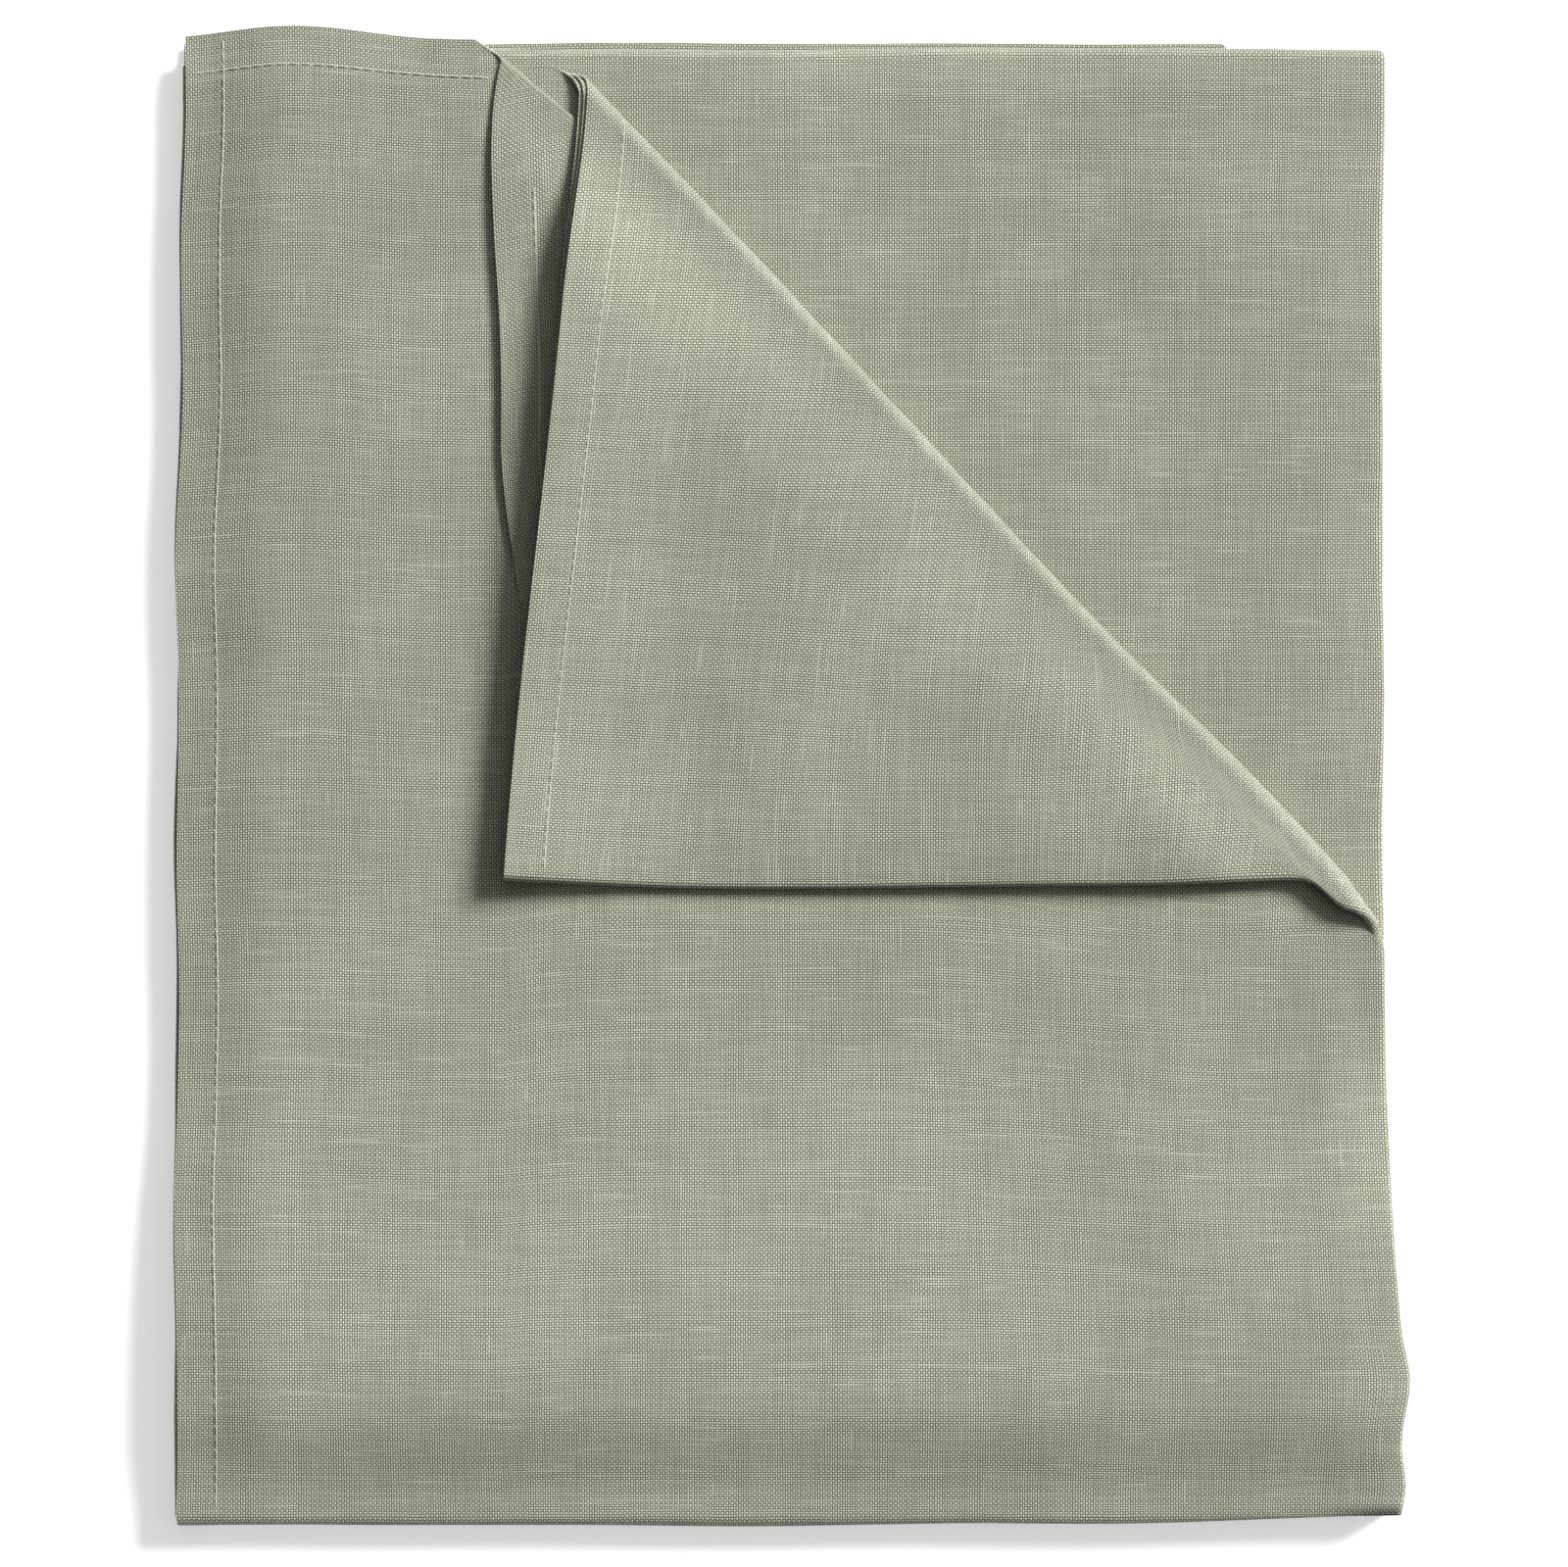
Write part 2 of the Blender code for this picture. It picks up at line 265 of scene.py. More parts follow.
def cross_section():
    """Lines across the cloth, from its left hem on, as (x, nest, distance on the cloth)."""
    lines = []
    right = RIGHT_X - OUTER_BULGE
    left = LEFT_X + INNER_BULGE
    spans = (
        (LEFT_X + COLUMN_1_IN, right, 0),
        (right, left, 3),
        (left, right, 2),
        (right, LEFT_X + COLUMN_4_IN, 1),
    )
    folds = ((0, 3, OUTER_BULGE, 1), (3, 2, INNER_BULGE, -1), (2, 1, INNER_BULGE, 1), None)
    panel = PANEL - SIDE_FOLD_LENGTH
    for column, ((start, end, nest), fold) in enumerate(zip(spans, folds)):
        xs = steps(start, end, ACROSS_STEP)
        if column == 0:
            xs = with_hem(xs, start + HEM_WIDTH)
        if column == 3:
            xs = with_hem(xs, end + HEM_WIDTH)[::-1]
        at = column * PANEL
        lines += [(x, nest, at + (abs(x - start) / abs(end - start)) * panel) for x in xs]
        if fold:
            first, last, reach, side = fold
            for step in range(1, BEND_STEPS):
                turn = math.pi * step / BEND_STEPS
                depth = first + (last - first) * (1 - math.cos(turn)) / 2
                distance = at + PANEL - SIDE_FOLD_LENGTH + SIDE_FOLD_LENGTH * step / BEND_STEPS
                lines.append((end + side * reach * math.sin(turn), depth, distance))
    return np.array(lines)


CROSS = cross_section()

# Each bend along the cloth, by the row before it: its middle's height, which side it bulges to, and
# its radius for a nest, in pitches
BENDS = {
    1: (ROW_AXIS.z, -1, lambda nest: 3.5 - nest),
    2: (ROW_AXIS.z - 4 * PITCH, 1, lambda nest: nest + 0.5),
    3: (ROW_AXIS.z - 8 * PITCH, -1, lambda nest: 3.5 - nest),
}


def row_height(row, nest):
    if row == 4:
        middle_height, _, radius = BENDS[3]
        return middle_height - radius(nest) * PITCH
    middle_height, _, radius = BENDS[row]
    return middle_height + radius(nest) * PITCH


def bend_line(row, share, nest):
    """A line in the bend from this row to the next: share 0 is on this row and 1 on the next."""
    middle_height, side, radius = BENDS[row]
    at = NEAR_Y if side < 0 else FAR_FOLD_Y
    turn = math.pi * share
    reach = radius(nest) * PITCH
    return at + side * reach * math.sin(turn), middle_height + reach * math.cos(turn)


def row_4_hem(x):
    """Row 4's own hem shows a little past the far fold, and stops short of the right edge."""
    return FAR_HEM_Y + ROW_4_PAST - ROW_4_SHORTER * smooth((x - ROW_4_SHORTER_FROM) / (3 * MM))


def lower_lines():
    """Lines along the cloth from row 1's fold to row 4's hem, as (y, z, distance on the cloth)."""
    nest = CROSS[:, 1]
    lines = []
    distance = ROW_1_LENGTH
    for row in (1, 2, 3):
        for step in range(1, BEND_STEPS + 1):
            share = step / BEND_STEPS
            y, z = bend_line(row, share, nest)
            lines.append((y, z, distance + share * BEND_LENGTH))
        distance += BEND_LENGTH
        start = FAR_FOLD_Y if row == 2 else NEAR_Y
        end = row_4_hem(CROSS[:, 0]) if row == 3 else {1: FAR_FOLD_Y, 2: NEAR_Y}[row]
        length = float(np.abs(np.mean(end) - start))
        shares = steps(0, 1, HIDDEN_STEP / length)[1:]
        if row == 3:
            shares = with_hem([share * length for share in shares], length - HEM_WIDTH)
            shares = [share / length for share in shares]
        for share in shares:
            y = start + (end - start) * share + 0 * nest
            lines.append((y, row_height(row + 1, nest), distance + share * length))
        distance += length
    return lines


def by_nest(values, nest):
    return np.interp(nest, range(4), values)


def early(nest, along):
    """How far to the lower left a layer's crease lies, and its slope, this far from the far hem."""
    size = by_nest(EARLY, nest)
    rest = np.clip(1 - along / EARLY_REACH, 0, None)
    return size * rest**2, -2 * size * rest / EARLY_REACH


def fuller(along):
    """How much wider the roll is than its layers alone would make it."""
    return FULLER[0] + (FULLER[1] - FULLER[0]) * smooth((along / CREASE_LENGTH - 0.65) / 0.30)


def roll_length(along):
    return ROLL + math.pi * fuller(along)


def to_crease(x, y):
    along = (x - CREASE_POINT.x) * CREASE_ALONG.x + (y - CREASE_POINT.y) * CREASE_ALONG.y
    across = (x - CREASE_POINT.x) * CREASE_ACROSS.x + (y - CREASE_POINT.y) * CREASE_ACROSS.y
    return along - CREASE_TOP_ALONG, across


def from_crease(along, across):
    at = along + CREASE_TOP_ALONG
    x = CREASE_POINT.x + at * CREASE_ALONG.x + across * CREASE_ACROSS.x
    y = CREASE_POINT.y + at * CREASE_ALONG.y + across * CREASE_ACROSS.y
    return x, y


def crease_place(x, y, nest):
    """A flat point of row 1 as (distance along the crease, rolls past its layer's crease)."""
    along, across = to_crease(x, y)
    foot = along.copy()
    for _ in range(FOOT_ROUNDS):
        shift, slope = early(nest, foot)
        foot = along - np.clip(across + shift, 0, None) * slope
    return along, (across + early(nest, foot)[0]) / roll_length(foot)


def tuck(along, beyond):
    """How far the flap is shifted towards its crease: in near the right end, and out elsewhere."""
    share = along / CREASE_LENGTH
    near_end = smooth((share - 0.55) / 0.36) * (1 - smooth((share - 0.95) / 0.05))
    at_tip = (1 - smooth((share - 0.45) / 0.35)) * smooth(beyond / (150 * MM))
    eased = FLAP_EASE * smooth(beyond / (40 * MM))
    return END_UP * near_end * smooth(beyond / (16 * MM)) - TIP_EASE * at_tip - eased


def roll_offset(along):
    """How far to the lower left of its crease line the roll lies. Below 0 it bulges out."""
    share = along / CREASE_LENGTH
    bulge = smooth((share - 0.60) / 0.25) * (1 - smooth((share - 0.92) / 0.07))
    return STARTS_INSIDE * (1 - smooth(share / 0.25)) - BULGE * bulge


def lift(along, beyond, nest):
    """How far the flap stands up: most by its free left edge, least at its crease's right end."""
    to_hem = along * CREASE_ACROSS.x - beyond * CREASE_ACROSS.y
    to_fold = (CREASE_LENGTH - along) * CREASE_ACROSS.y - beyond * CREASE_ACROSS.x
    along_share = 1 - LOWER_AT_END * smooth((along / CREASE_LENGTH - 0.25) / 0.65)
    fades = CROWN_FADES * smooth((beyond - 25 * MM) / (90 * MM))
    crown = CROWN * smooth(beyond / (32 * MM)) - fades
    hem_stands = HEM_STANDS * (1 - smooth(to_hem / (60 * MM))) * smooth(beyond / (34 * MM))
    apart = FLAP_LIFT * by_nest(LIFT_OF_NEST, nest) * (crown + hem_stands) * along_share
    droop = FLAP_DROOP * (1 - smooth((to_fold + 4 * MM) / (30 * MM))) * smooth(beyond / (30 * MM))
    return apart - droop * smooth(to_hem / (40 * MM)) * by_nest(LIFT_OF_NEST, nest)


def roll_corner(along, rolls, nest):
    """Where a point of row 1 lies once its corner is turned over the crease."""
    foot = along.copy()
    for _ in range(FOOT_ROUNDS):
        foot = along - np.clip(rolls, 0, None) * roll_length(foot) * early(nest, foot)[1]
    shift, slope = early(nest, foot)
    past = rolls * roll_length(foot)
    layers = (nest + 0.5) * PITCH
    radius = layers + fuller(foot)
    turn = math.pi * np.clip(rolls, 0, 1)
    beyond = np.clip(past - roll_length(foot), 0, None)
    drawn = tuck(foot, beyond)
    near_roll = np.where(past < 0, smooth(1 + past / (25 * MM)), 1 - smooth(beyond / (60 * MM)))
    across = np.where(rolls < 0, past, radius * np.sin(turn) - beyond + drawn) - shift
    across = across - roll_offset(foot) * near_roll
    moved = along - 2 * np.clip(past, 0, None) * slope
    z = CREASE_POINT.z - layers + radius * (1 - np.cos(turn)) + lift(foot, beyond, nest)
    x, y = from_crease(moved, across)
    return x, y, z


def far_edge(x, nest):
    """How far row 1's far hem lies inside FAR_HEM_Y. Past the apex it is the flap's left edge."""
    past_apex = x - APEX_X
    to_tip = smooth((past_apex - by_nest(TIP_FROM, nest)) / by_nest(TIP_REACH, nest))
    run_out = 1 - np.exp(-np.clip(past_apex + 9 * MM, 0, None) / (12 * MM))
    inside = by_nest(HEM_SHORT, nest) - by_nest(HEM_LONG, nest) * run_out
    inside = inside + (TIP_SHORT - inside) * to_tip
    swell = FAR_SWELL * ridge(x - FAR_SWELL_X, FAR_SWELL_WIDTH) + FAR_OUT
    return inside - swell * (1 - smooth((past_apex + 16 * MM) / (20 * MM)))


# ---------------------------------------------------------------- how the cloth settles


def fine_noise(points, size, seed):
    at = seed * 1.7
    return np.array([noise.noise(Vector((p[0] / size + seed, p[1] / size, at))) for p in points])


def layer_noise(points, size, seed, spread):
    """Noise that also changes slowly with height, so that stacked layers differ a little."""
    places = (Vector((p[0] / size + seed, p[1] / size, p[2] / spread)) for p in points)
    return np.array([noise.noise(place) for place in places])


def away_from_joints(x, y):
    """0 on the two fold lines that open, whose heights stay as the joints have them, 1 beyond."""
    along, across = to_crease(x, y)
    widest, _ = early(np.zeros_like(x), along)
    outside = np.maximum(across - 5 * MM, -across - widest - 5 * MM)
    inside_row = (along > -20 * MM) & (along < CREASE_LENGTH + 20 * MM)
    from_crease_line = np.where(inside_row, smooth(outside / (16 * MM)), 1)
    return smooth((y - NEAR_Y - 1 * MM) / (30 * MM)) * from_crease_line


def settle(points):
    """Gives the flat pack its soft unevenness. Heights are scaled, so layers keep their order."""
    x, y, z = points[:, 0], points[:, 1], points[:, 2]
    level = z / CREASE_POINT.z
    left = smooth(1 - (x - LEFT_X) / (26 * MM))
    far = smooth(1 - (CAD_HIGH.y - y) / (16 * MM))
    right = smooth(1 - (RIGHT_X - x) / (16 * MM))
    slack = SLACK - THIN_LEFT * left - THIN_FAR * far - THIN_RIGHT * right
    for share, size, seed in HEIGHT_NOISE:
        slack = slack + share * fine_noise(points, size, seed)
    share, size, seed = PUCKER_LEFT
    by_hem = np.exp(-np.abs(x - LEFT_X - HEM_WIDTH) / PUCKER_REACH)
    slack = slack + share * by_hem * fine_noise(points * [0.4, 1, 1], size, seed)
    share, size, seed = PUCKER_FAR
    by_far = np.exp(-np.abs(y - FAR_HEM_Y + HEM_WIDTH) / PUCKER_REACH) * (x < APEX_X)
    slack = slack + share * by_far * fine_noise(points * [1, 0.4, 1], size, seed)
    inward = y - NEAR_Y
    slack = slack + NEAR_SWELL * (1 - smooth((inward - 38 * MM) / (90 * MM)))
    slack = 1 + slack * away_from_joints(x, y)
    height, size, seed = WAVE_X
    wave_x = layer_noise(points * [0.02, 1, 1], size, seed, WAVE_SPREAD) * height
    height, size, seed = WAVE_Y
    wave_y = layer_noise(points * [1, 0.02, 1], size, seed, WAVE_SPREAD) * height
    by_left = smooth(1 - (x - LEFT_X) / WAVE_REACH)
    edge_x = np.maximum(by_left, smooth(1 - (RIGHT_X - x) / WAVE_REACH))
    by_near = smooth(1 - (y - CAD_LOW.y) / WAVE_REACH)
    edge_y = np.maximum(by_near, smooth(1 - (CAD_HIGH.y - y) / WAVE_REACH))
    of_layer = WAVE_AT_BOTTOM + (1 - WAVE_AT_BOTTOM) * level
    wide = WIDER * smooth((-y - 50 * MM) / (110 * MM)) * smooth((x + 20 * MM) / (180 * MM))
    bulges = BULGE_OUT * sum(ridge(y - place, width) for place, width in BULGES)
    wide = wide + bulges * smooth((x - RIGHT_X + 20 * MM) / (20 * MM))
    lean = LEAN * by_left * smooth((150 * MM - y) / (90 * MM))
    past_fold = np.clip((NEAR_Y - y) / (3.5 * PITCH), 0, 1)
    skew = SKEW * smooth((x - 60 * MM) / (110 * MM)) * past_fold
    off_axis = np.where(y < NEAR_Y, past_fold, smooth((y - NEAR_Y) / (30 * MM)))
    settled = np.empty_like(points)
    settled[:, 0] = x + wave_x * edge_x * of_layer + wide + lean
    settled[:, 1] = y + wave_y * edge_y * of_layer * off_axis + skew
    settled[:, 2] = z * slack
    return settled


# ---------------------------------------------------------------- meshes


def half_thickness(u, v, length):
    """Half the cloth's thickness: a turned hem is thicker, and its stitching draws it in."""
    edge = np.minimum(np.minimum(u, u.max() - u), np.minimum(v, length - v))
    hem = 1 - smooth((edge - HEM_WIDTH + 0.2 * MM) / (1.0 * MM))
    drawn_in = 0.35 * ridge(edge - HEM_WIDTH + 0.4 * MM, 0.7 * MM)
    return (CLOTH_THICKNESS + (HEM_THICKNESS - CLOTH_THICKNESS) * (hem - drawn_in)) / 2


def row_y(x, nest, v):
    """Y of a place in row 1, v metres from its far hem, while the row lies flat."""
    end = FAR_HEM_Y - far_edge(x, nest)
    return end - v * (end - NEAR_Y) / ROW_1_LENGTH


def cloth_grid(lower):
    """The whole cloth as one grid, cut where the corner's roll bends. Its UVs are cloth places.

    Until Cloth places them, a point's coordinates are (along, rolls past the crease, nest) in
    row 1, and (line, LOWER_MARK, column) after it.
    """
    x, nest, u = CROSS.T
    vs = with_hem(steps(0, ROW_1_LENGTH, ALONG_STEP), HEM_WIDTH)
    shape = bmesh.new()
    uv_layer = shape.loops.layers.uv.new("cloth")
    rows = []
    for v in vs:
        along, rolls = crease_place(x, row_y(x, nest, v), nest)
        rows.append([shape.verts.new(point) for point in zip(along, rolls, nest)])
    for j in range(len(lower)):
        rows.append([shape.verts.new((j, LOWER_MARK, i)) for i in range(len(u))])
    distances = vs + [line[2] for line in lower]
    for j in range(len(rows) - 1):
        for i in range(len(u) - 1):
            corners = ((j, i), (j, i + 1), (j + 1, i + 1), (j + 1, i))
            face = shape.faces.new([rows[a][b] for a, b in corners])
            for loop, (a, b) in zip(face.loops, corners):
                loop[uv_layer].uv = (u[b], distances[a])
    within = [step / ROLL_STEPS for step in range(ROLL_STEPS + 1)]
    for cut in [-CUT_BESIDE, *within, 1 + CUT_BESIDE]:
        bmesh.ops.bisect_plane(
            shape,
            geom=shape.verts[:] + shape.edges[:] + shape.faces[:],
            dist=0.01,
            plane_co=(0, cut, 0),
            plane_no=(0, 1, 0),
        )
    mesh = bpy.data.meshes.new("whole_cloth")
    shape.to_mesh(mesh)
    shape.free()
    return mesh


def read(collection, name, kind, width):
    values = np.empty(len(collection) * width, kind)
    collection.foreach_get(name, values)
    return values.reshape(-1, width) if width > 1 else values


class Cloth:
    """The folded cloth as arrays: its points, which way they face, and each face's corners."""

    def __init__(self):
        lower = lower_lines()
        mesh = cloth_grid(lower)
        flat = read(mesh.vertices, "co", np.float32, 3).astype(float)
        is_lower = flat[:, 1] < LOWER_MARK / 2
        points = np.empty_like(flat)
        points[~is_lower] = np.column_stack(roll_corner(*flat[~is_lower].T))
        line, column = np.round(flat[is_lower][:, [0, 2]]).astype(int).T
        heights = np.array([entry[1] for entry in lower])
        ys = np.array([entry[0] for entry in lower])
        lower_points = [CROSS[column, 0], ys[line, column], heights[line, column]]
        points[is_lower] = np.column_stack(lower_points)
        self.points = settle(points)
        mesh.vertices.foreach_set("co", self.points.astype(np.float32).ravel())
        mesh.update()
        self.normals = read(mesh.vertex_normals, "vector", np.float32, 3).astype(float)
        self.corners = read(mesh.loops, "vertex_index", np.int32, 1)
        self.places = read(mesh.uv_layers["cloth"].data, "uv", np.float32, 2).astype(float)
        self.starts = read(mesh.polygons, "loop_start", np.int32, 1)
        self.counts = read(mesh.polygons, "loop_total", np.int32, 1)
        at = np.zeros((len(flat), 2))
        at[self.corners] = self.places
        self.length = at[:, 1].max()
        self.half = half_thickness(at[:, 0], at[:, 1], self.length)
        rolls = self.face_mean(np.where(is_lower, 0, flat[:, 1]))
        line_of = np.where(is_lower, flat[:, 0], -1)
        lower_share = self.face_mean(is_lower.astype(float))
        deepest = np.maximum.reduceat(line_of[self.corners], self.starts)
        nest_of = np.where(is_lower, 0, flat[:, 2])
        nest_of[is_lower] = CROSS[column, 1]
        self.nest = np.round(self.face_mean(nest_of)).astype(int)
        self.u = np.add.reduceat(self.places[:, 0], self.starts) / self.counts
        row_1 = lower_share == 0
        self.patches = {
            "row_1": row_1 & (rolls < 0),
            "crease": row_1 & (rolls >= 0) & (rolls <= 1),
            "corner": row_1 & (rolls > 1),
            "near_fold": ~row_1 & (deepest < BEND_STEPS),
            "lower": deepest >= BEND_STEPS,
        }
        bpy.data.meshes.remove(mesh)

    def face_mean(self, values):
        return np.add.reduceat(values[self.corners], self.starts) / self.counts

    def piece(self, name, faces):
        """A closed piece of the cloth's thickness, made of these faces. Neighbours meet exactly."""
        chosen = np.flatnonzero(faces)
        loops = [range(self.starts[f], self.starts[f] + self.counts[f]) for f in chosen]
        used = np.unique(self.corners[np.concatenate([np.array(loop) for loop in loops])])
        index = {vertex: i for i, vertex in enumerate(used.tolist())}
        offset = self.normals[used] * self.half[used, None]
        vertices = np.concatenate([self.points[used] + offset, self.points[used] - offset])
        count = len(used)
        outer = []
        edges = {}
        for loop in loops:
            corners = [index[self.corners[k]] for k in loop]
            outer.append((corners, list(loop)))
            for k, corner in enumerate(corners):
                after = (k + 1) % len(corners)
                pair = (corner, corners[after])
                if edges.pop(pair[::-1], None) is None:
                    edges[pair] = (loop[k], loop[after])
        polygons, places, facing = [], [], []
        for corners, loop in outer:
            polygons += [corners, [c + count for c in corners[::-1]]]
            places += loop + loop[::-1]
            facing += [self.normals[self.corners[k]] for k in loop]
            facing += [-self.normals[self.corners[k]] for k in loop[::-1]]
        for (a, b), (at_a, at_b) in edges.items():
            polygons.append([b, a, a + count, b + count])
            places += [at_b, at_a, at_a, at_b]
            facing += [Vector()] * 4
        mesh = bpy.data.meshes.new(name)
        mesh.from_pydata(vertices.tolist(), [], polygons)
        uvs = self.places[places].astype(np.float32).ravel()
        mesh.uv_layers.new(name="cloth").data.foreach_set("uv", uvs)
        mesh.shade_smooth()
        mesh.normals_split_custom_set(facing)
        obj = bpy.data.objects.new(name, mesh)
        bpy.context.scene.collection.objects.link(obj)
        obj.data.materials.append(linen_material())
        return obj


def bend_pieces(cloth, patch, name, radius_of_nest):
    """One piece for each layer of a fold.
    """
    made = []
    for nest, column in enumerate(COLUMN_OF_NEST):
        faces = cloth.patches[patch] & (cloth.nest == nest)
        piece = cloth.piece(f"{name}_column_{column}", faces)
        inside = radius_of_nest(nest) * PITCH - CLOTH_THICKNESS / 2
        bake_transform(piece)
        made.append(piece)
    return made


def build_lower_rows(cloth):
    piece = cloth.piece("cloth_rows_2_to_4", cloth.patches["lower"])
    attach(piece, "lower_rows")
    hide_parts(*BODIES["lower_rows"])
    folds = bend_pieces(cloth, "near_fold", "near_fold", BENDS[1][2])


def build_row_1(cloth):
    piece = cloth.piece("cloth_row_1", cloth.patches["row_1"])
    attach(piece, "top_row")
    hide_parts(*[node for node in BODIES["top_row"] if not node.endswith("thread")])


def build_corner(cloth):
    """The turned corner's two pairs of layers, each pair joined along the right edge's fold."""
    rolls = bend_pieces(cloth, "crease", "crease", lambda nest: nest + 0.5)
    outer = cloth.u < 2 * PANEL
    pairs = (
        ("columns_1_and_2", outer, "outer", (1, 2), (0, 3)),
        ("columns_3_and_4", ~outer, "inner", (3, 4), (1, 2)),
    )
    for name, faces, fold, columns, nests in pairs:
        piece = cloth.piece(f"corner_{name}", cloth.patches["corner"] & faces)
        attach(piece, "turned_corner")
        panels = [f"corner_panel_{column}" for column in columns]
        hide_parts(f"corner_fold_{fold}", *panels)


# ---------------------------------------------------------------- stitching


def tube(name, centres, ups, radius):
    """A round thread along these centres."""
    shape = bmesh.new()
    ahead = np.gradient(centres, axis=0)
    ahead /= np.linalg.norm(ahead, axis=1)[:, None]
    aside = np.cross(ahead, ups)
    aside /= np.linalg.norm(aside, axis=1)[:, None]
    over = np.cross(aside, ahead)
    rings = []
    for centre, a, b in zip(centres, aside, over):
        turns = [2 * math.pi * k / THREAD_SIDES for k in range(THREAD_SIDES)]
        places = [centre + radius * (a * math.cos(t) + b * math.sin(t)) for t in turns]
        rings.append([shape.verts.new(place) for place in places])
    for first, second in zip(rings, rings[1:]):
        for k in range(THREAD_SIDES):
            after = (k + 1) % THREAD_SIDES
            shape.faces.new((first[k], first[after], second[after], second[k]))
    shape.faces.new(rings[0][::-1])
    shape.faces.new(rings[-1])
    bmesh.ops.recalc_face_normals(shape, faces=shape.faces)
    mesh = bpy.data.meshes.new(name)
    shape.to_mesh(mesh)
    shape.free()
    mesh.shade_smooth()
    obj = bpy.data.objects.new(name, mesh)
    bpy.context.scene.collection.objects.link(obj)
    return obj


def surface(u_line, v_line, column_x, nest):
    """Where these places of row 1 lie on the folded cloth."""
    x = column_x(u_line)
    depth = np.full_like(x, float(nest))
    along, rolls = crease_place(x, row_y(x, depth, v_line), depth)
    return settle(np.column_stack(roll_corner(along, rolls, depth)))


def stitches(name, body, u_line, v_line, column_x, nest, node=None):
    """Lockstitches along a line of places: each rises over the cloth and dips in at its ends."""
    centre = surface(u_line, v_line, column_x, nest)
    nudge = 0.2 * MM
    beside_u = surface(u_line + nudge, v_line, column_x, nest)
    beside_v = surface(u_line, v_line + nudge, column_x, nest)
    normal = np.cross(beside_u - centre, beside_v - centre)
    normal /= np.linalg.norm(normal, axis=1)[:, None]
    normal *= np.sign(normal[:, 2])[:, None]
    lengths = np.linalg.norm(np.diff(centre, axis=0), axis=1)
    phase = (np.concatenate([[0], np.cumsum(lengths)]) / STITCH) % 1
    rise = HEM_THICKNESS / 2 - STITCH_SUNK + STITCH_RISE * np.sin(math.pi * phase) ** 0.5
    obj = tube(name, centre + normal * rise[:, None], normal, THREAD_RADIUS)
    obj.data.materials.append(thread_material())
    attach(obj, body)
    if node:
        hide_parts(node)


def column_1(u):
    """Column 1 runs out from the left edge."""
    return LEFT_X + COLUMN_1_IN + u


def column_2(u):
    """Column 2 runs back from the right edge."""
    return RIGHT_X - u


def build_stitching():
    """The stitching that shows: row 1's two hems, and the flap's hem on two of its layers."""
    apex = APEX_X - LEFT_X
    down = np.arange(2 * MM, ROW_1_LENGTH - 1 * MM, STITCH_STEP)
    hem = np.full_like(down, HEM_WIDTH)
    stitches("left_hem_stitches", "top_row", hem, down, column_1, 0, "left_hem_thread")
    over = np.arange(1.5 * MM, apex - 14 * MM, STITCH_STEP)
    hem = np.full_like(over, HEM_WIDTH)
    stitches("top_hem_stitches", "top_row", over, hem, column_1, 0, "top_hem_thread")
    corner = np.arange(3 * MM, RIGHT_X - APEX_X - 26 * MM, STITCH_STEP)
    hem = np.full_like(corner, HEM_WIDTH)
    stitches("corner_hem_stitches", "turned_corner", corner, hem, column_2, 3, "corner_hem_thread")
    under = np.arange(apex + 30 * MM, apex + 150 * MM, STITCH_STEP)
    hem = np.full_like(under, HEM_WIDTH)
    stitches("lower_corner_hem_stitches", "turned_corner", under, hem, column_1, 0)


# ---------------------------------------------------------------- materials


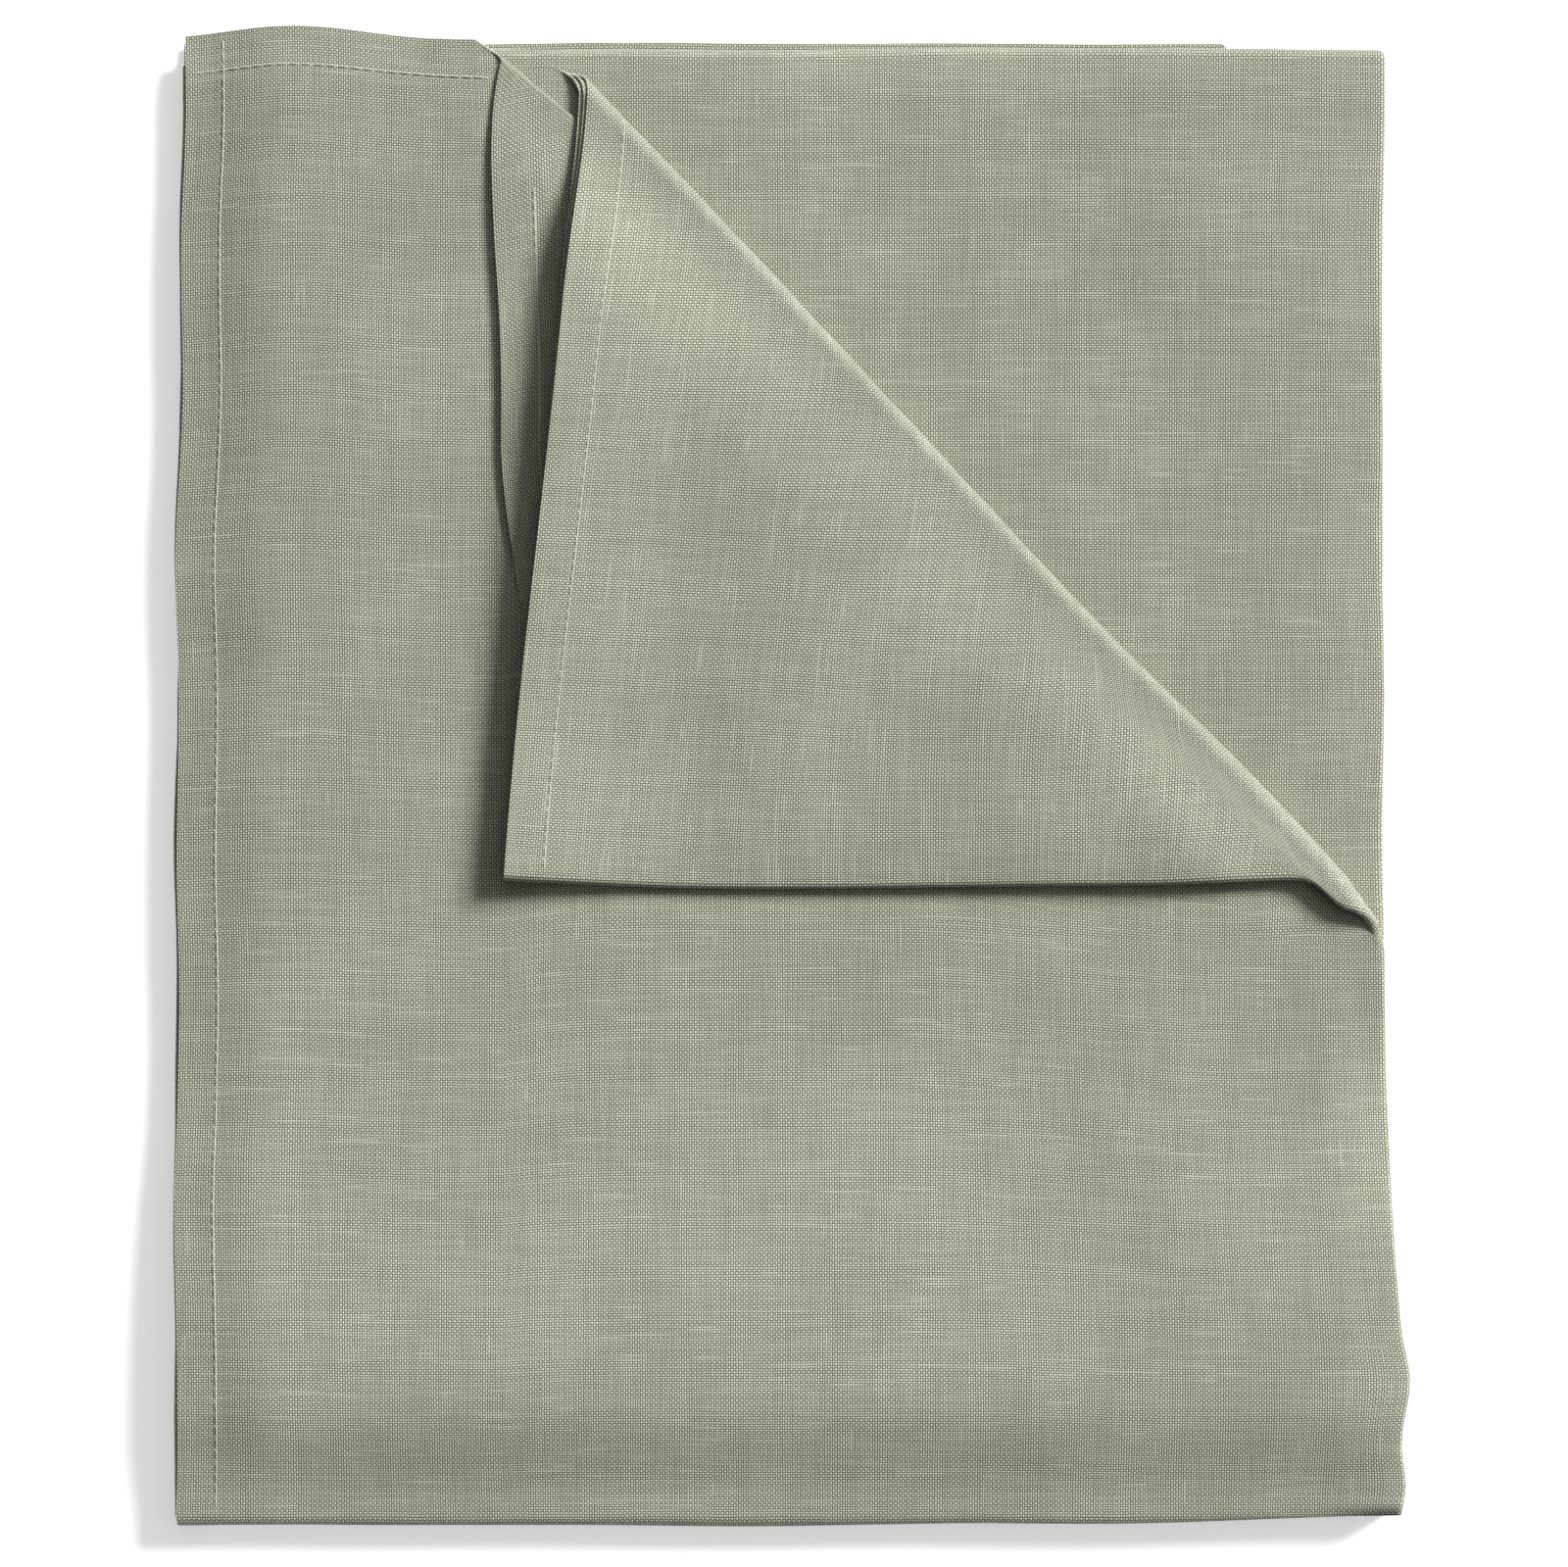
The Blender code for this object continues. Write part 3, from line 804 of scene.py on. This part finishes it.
class Graph:
    """Short names for adding shader nodes."""

    def __init__(self, material):
        material.use_nodes = True
        self.tree = material.node_tree
        self.shader = self.tree.nodes["Principled BSDF"]

    def node(self, kind, **settings):
        node = self.tree.nodes.new(kind)
        for key, value in settings.items():
            setattr(node, key, value)
        return node

    def link(self, source, target):
        self.tree.links.new(source, target)

    def put(self, target, value):
        if isinstance(value, bpy.types.NodeSocket):
            self.link(value, target)
        else:
            target.default_value = value

    def math(self, operation, a, b=None, c=None):
        node = self.node("ShaderNodeMath", operation=operation)
        for socket, value in zip(node.inputs, (a, b, c)):
            if value is not None:
                self.put(socket, value)
        return node.outputs[0]

    def noise(self, vector, scale, detail=2.0):
        node = self.node("ShaderNodeTexNoise", noise_dimensions="2D")
        self.put(node.inputs["Vector"], vector)
        node.inputs["Scale"].default_value = scale
        node.inputs["Detail"].default_value = detail
        return node.outputs["Fac"]

    def combine(self, x, y):
        node = self.node("ShaderNodeCombineXYZ")
        self.put(node.inputs["X"], x)
        self.put(node.inputs["Y"], y)
        return node.outputs[0]

    def ramp(self, value, low, high, to_low=0.0, to_high=1.0):
        node = self.node("ShaderNodeMapRange", interpolation_type="SMOOTHSTEP")
        self.put(node.inputs["Value"], value)
        ends = {"From Min": low, "From Max": high, "To Min": to_low, "To Max": to_high}
        for name, number in ends.items():
            node.inputs[name].default_value = number
        return node.outputs[0]

    def mix(self, share, a, b):
        node = self.node("ShaderNodeMix", data_type="RGBA")
        self.put(node.inputs[0], share)
        self.put(node.inputs[6], (*a, 1) if isinstance(a, tuple) else a)
        self.put(node.inputs[7], (*b, 1) if isinstance(b, tuple) else b)
        return node.outputs[2]

    def pick(self, share, a, b):
        node = self.node("ShaderNodeMix", data_type="FLOAT")
        for socket, value in zip(node.inputs[:1] + node.inputs[2:4], (share, a, b)):
            self.link(value, socket)
        return node.outputs[0]

    def yarn_noise(self, u, v, u_scale, v_scale, detail):
        """Noise that runs along one yarn, because the other coordinate is its number."""
        place = self.combine(self.math("MULTIPLY", u, u_scale), self.math("MULTIPLY", v, v_scale))
        return self.noise(place, 1.0, detail)


@functools.cache
def linen_material():
    """Plain-woven linen: round yarns over and under each other, slubs, yarns of many tones, and
    painted shade in the gaps between yarns.
    """
    material = bpy.data.materials.new("linen")
    g = Graph(material)
    uv = g.node("ShaderNodeUVMap", uv_map="cloth")
    parts = g.node("ShaderNodeSeparateXYZ")
    g.link(uv.outputs[0], parts.inputs[0])
    drift_u, drift_v = (g.math("MULTIPLY", g.noise(uv.outputs[0], n), DRIFT) for n in DRIFT_SCALES)
    u = g.math("ADD", g.math("DIVIDE", parts.outputs[0], THREAD_PITCH), drift_u)
    v = g.math("ADD", g.math("DIVIDE", parts.outputs[1], THREAD_PITCH), drift_v)
    warp_number = g.math("FLOOR", u)
    weft_number = g.math("FLOOR", v)
    odd = g.math("PINGPONG", g.math("ADD", warp_number, weft_number), 1.0)
    across = g.math("ABSOLUTE", g.math("SINE", g.math("MULTIPLY", u, math.pi)))
    along = g.math("ABSOLUTE", g.math("SINE", g.math("MULTIPLY", v, math.pi)))
    crowns = []
    for power_across, power_along in ((ROUND_ACROSS, ROUND_ALONG), (ROUND_ALONG, ROUND_ACROSS)):
        sides = (g.math("POWER", across, power_across), g.math("POWER", along, power_along))
        crowns.append(g.math("MULTIPLY", *sides))
    crown = g.pick(odd, *crowns)
    warp_tone = g.yarn_noise(warp_number, v, TONE_APART, TONE_LENGTH, 1.0)
    weft_tone = g.yarn_noise(u, weft_number, TONE_LENGTH, TONE_APART, 1.0)
    tone = g.pick(odd, warp_tone, weft_tone)
    weft_slub = g.yarn_noise(u, weft_number, WEFT_SLUB[0], SLUB_APART, 0.0)
    warp_slub = g.yarn_noise(warp_number, v, SLUB_APART, WARP_SLUB[0], 0.0)
    slub = g.math("MAXIMUM", g.ramp(weft_slub, *WEFT_SLUB[1:]), g.ramp(warp_slub, *WARP_SLUB[1:]))
    patches = g.noise(uv.outputs[0], PATCH_SCALE, 4.0)
    shade = g.math("MULTIPLY_ADD", odd, -CROSSING_CONTRAST, g.ramp(tone, 0.28, 0.72))
    darker, paler = (tuple(c * share for c in LINEN) for share in YARN_TONES)
    yarn = g.mix(g.ramp(shade, -CROSSING_CONTRAST, 1.0), darker, paler)
    yarn = g.mix(g.math("MULTIPLY", slub, SLUB_PALER), yarn, LINEN_PALE)
    yarn = g.mix(g.ramp(patches, 0.30, 0.70, PATCH_DARKER, 0.0), yarn, LINEN_DARK_AND_GAP_SHADE)
    # painted shade: the colour turns to the dark colour where a yarn's crown falls away, at its
    # sides and in the gaps of the weave
    colour = g.mix(g.ramp(crown, 0.16, 0.74, 1.0, 0.0), yarn, LINEN_DARK_AND_GAP_SHADE)
    g.link(colour, g.shader.inputs["Base Color"])
    g.link(g.ramp(crown, 0.2, 1.0, 0.95, 0.78), g.shader.inputs["Roughness"])
    g.shader.inputs["Sheen Weight"].default_value = 0.12
    g.shader.inputs["Sheen Roughness"].default_value = 0.5
    g.shader.inputs["Specular IOR Level"].default_value = 0.25
    height = g.math("ADD", crown, g.math("MULTIPLY", slub, SLUB_HEIGHT))
    bump = g.node("ShaderNodeBump")
    bump.inputs["Strength"].default_value = 0.7
    bump.inputs["Distance"].default_value = BUMP_DISTANCE
    g.link(height, bump.inputs["Height"])
    g.link(bump.outputs[0], g.shader.inputs["Normal"])
    return material


@functools.cache
def thread_material():
    """Spun sewing thread, close to the cloth's own tone."""
    material = bpy.data.materials.new("sewing_thread")
    g = Graph(material)
    place = g.node("ShaderNodeTexCoord").outputs["Object"]
    wave = g.node("ShaderNodeTexNoise")
    g.link(place, wave.inputs["Vector"])
    wave.inputs["Scale"].default_value = 1400
    tones = (tuple(c * 0.8 for c in THREAD_COLOUR), THREAD_COLOUR)
    g.link(g.mix(g.ramp(wave.outputs["Fac"], 0.3, 0.7), *tones), g.shader.inputs["Base Color"])
    g.link(g.ramp(wave.outputs["Fac"], 0.3, 0.7, 0.8, 0.6), g.shader.inputs["Roughness"])
    return material


# ---------------------------------------------------------------- floor, light, camera


def floor_material():
    """A pale floor that glows a little, so that the pack's shadow on it stays pale."""
    material = bpy.data.materials.new("floor")
    g = Graph(material)
    g.shader.inputs["Base Color"].default_value = (0.94, 0.94, 0.94, 1)
    g.shader.inputs["Roughness"].default_value = 0.9
    g.shader.inputs["Emission Color"].default_value = (1, 1, 1, 1)
    g.shader.inputs["Emission Strength"].default_value = FLOOR_GLOW
    return material


def build_stage():
    bpy.ops.mesh.primitive_plane_add(size=6, location=(0, 0, 0))
    floor = bpy.context.object
    floor.name = "floor"
    floor.location.z = CAD_LOW.z - FLOOR_DROP
    floor.data.materials.append(floor_material())


def distant_light(name, direction, softness, strength):
    """A softbox far enough away to light both sides of the pack alike."""
    data = bpy.data.lights.new(name, "SUN")
    data.angle = math.radians(softness)
    data.energy = strength
    light = bpy.data.objects.new(name, data)
    light.location = direction
    light.rotation_euler = (-Vector(direction)).to_track_quat("-Z", "Y").to_euler()
    bpy.context.scene.collection.objects.link(light)


def build_lights():
    world = bpy.data.worlds.new("studio")
    bpy.context.scene.world = world
    world.use_nodes = True
    background = world.node_tree.nodes["Background"]
    background.inputs["Color"].default_value = (1, 1, 1, 1)
    background.inputs["Strength"].default_value = WORLD_STRENGTH
    for light in LIGHTS:
        distant_light(*light)


def build_camera():
    """Straight above the pack, as the photo is taken."""
    data = bpy.data.cameras.new("camera")
    data.lens = 100
    data.sensor_width = 36
    camera = bpy.data.objects.new("camera", data)
    height = FRAME_WIDTH / data.sensor_width * data.lens
    camera.location = (*FRAME_CENTRE, CREASE_POINT.z + height)
    bpy.context.scene.collection.objects.link(camera)
    bpy.context.scene.camera = camera


build_camera()
build_stage()
build_lights()
bpy.context.scene.view_settings.view_transform = "Standard"

whole = Cloth()
build_lower_rows(whole)
build_row_1(whole)
build_corner(whole)
build_stitching()
